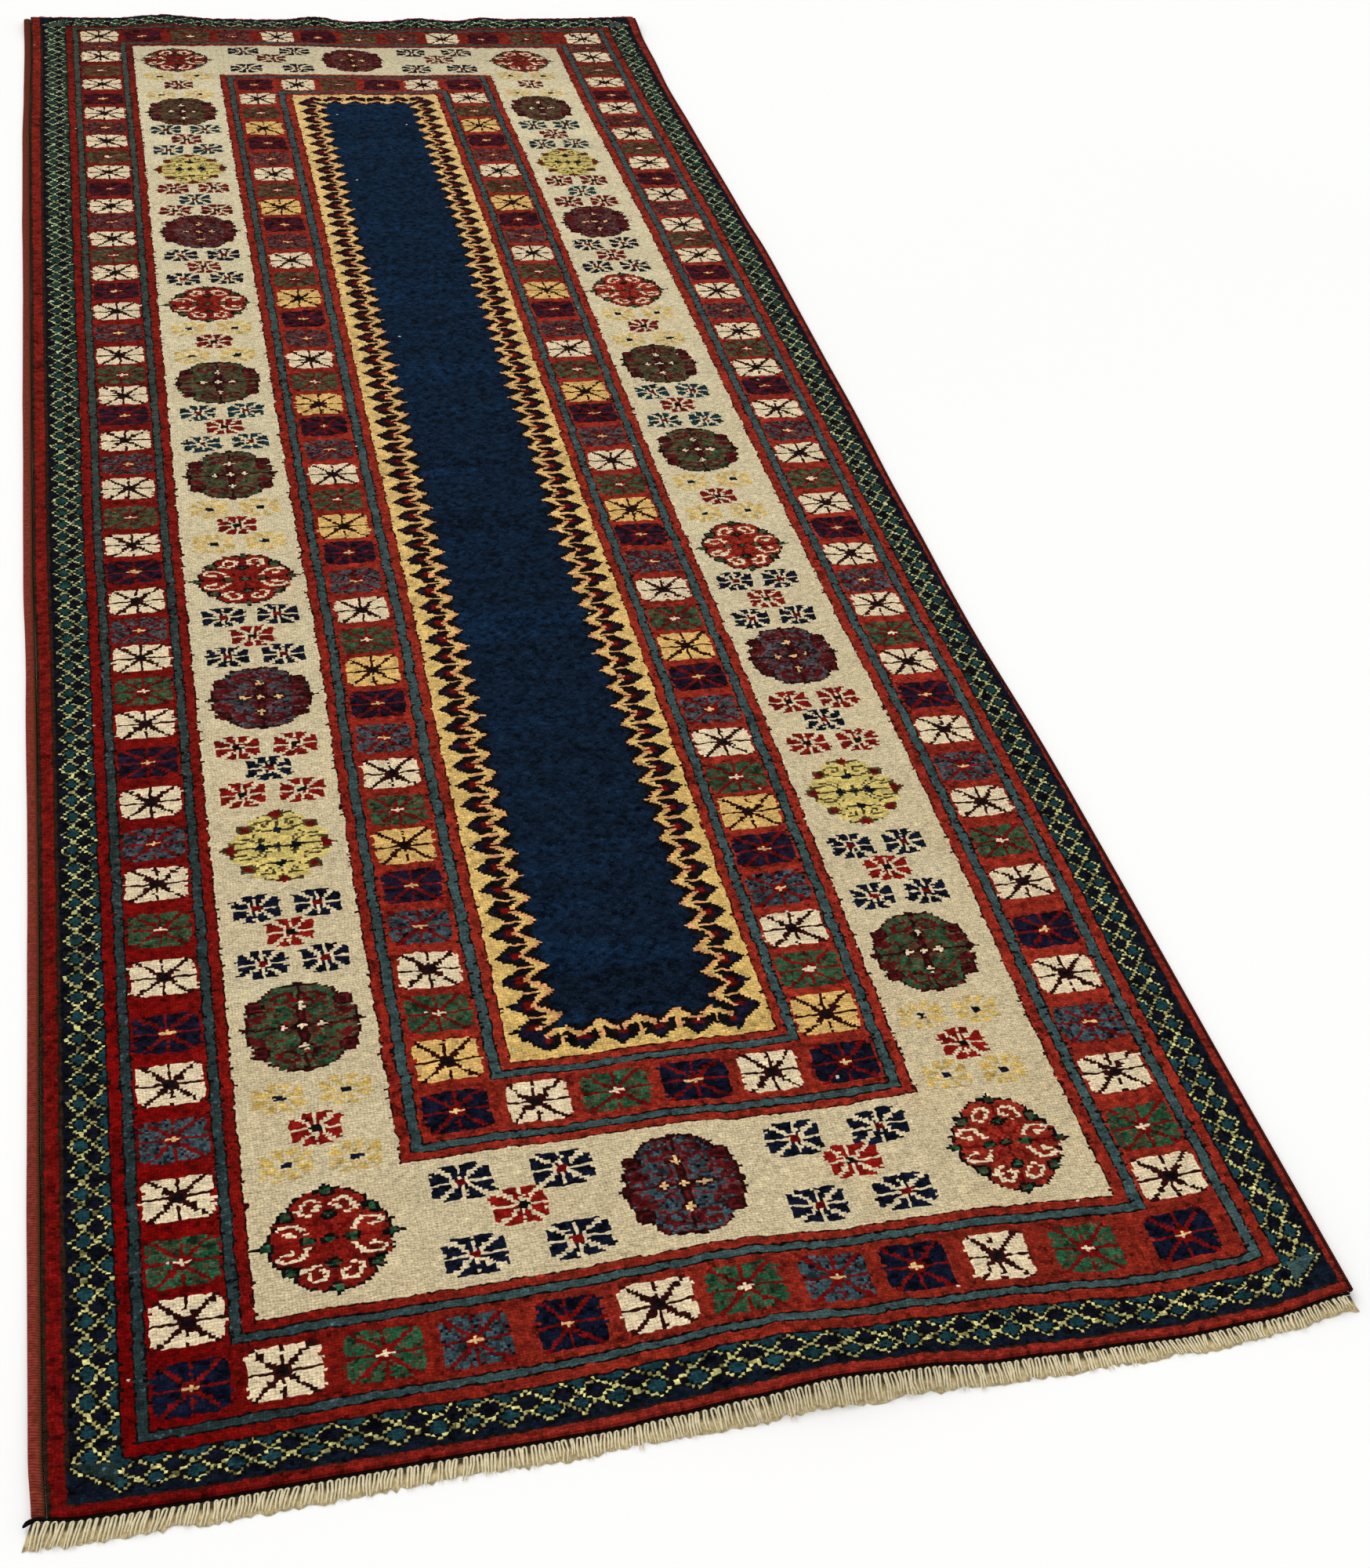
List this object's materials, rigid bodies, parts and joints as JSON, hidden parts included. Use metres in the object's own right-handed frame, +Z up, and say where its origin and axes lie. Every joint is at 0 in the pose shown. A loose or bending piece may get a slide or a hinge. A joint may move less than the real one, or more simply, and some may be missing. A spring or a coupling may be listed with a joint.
{
  "type": "hand-knotted wool long rug",
  "caption": "Long flat knotted wool rug with striped and squared borders round a plain field, overcast sides and a short cotton fringe.",
  "frame": {"origin": "middle of the rug's outline with its fringes, on the floor", "axes": "+Z up, +Y along the rug's length away from the end with the longer looped fringe, +X across it"},
  "size_m": [1.3198, 3.4724, 0.0238],
  "materials": {
    "wool_pile": "short cut wool pile in knotted rows",
    "wool_overcast": "wool yarn wound closely round two warp cords",
    "dark_wool_cord": "twisted dark wool yarn",
    "cotton_fringe": "twisted undyed cotton loops"
  },
  "bodies": {
    "root": {"knotted_body": "wool_pile", "selvedge_left": "wool_overcast", "selvedge_right": "wool_overcast", "end_cord_near": "dark_wool_cord", "end_cord_far": "dark_wool_cord", "fringe_near": "cotton_fringe", "fringe_far": "cotton_fringe"}
  },
  "joints": []
}
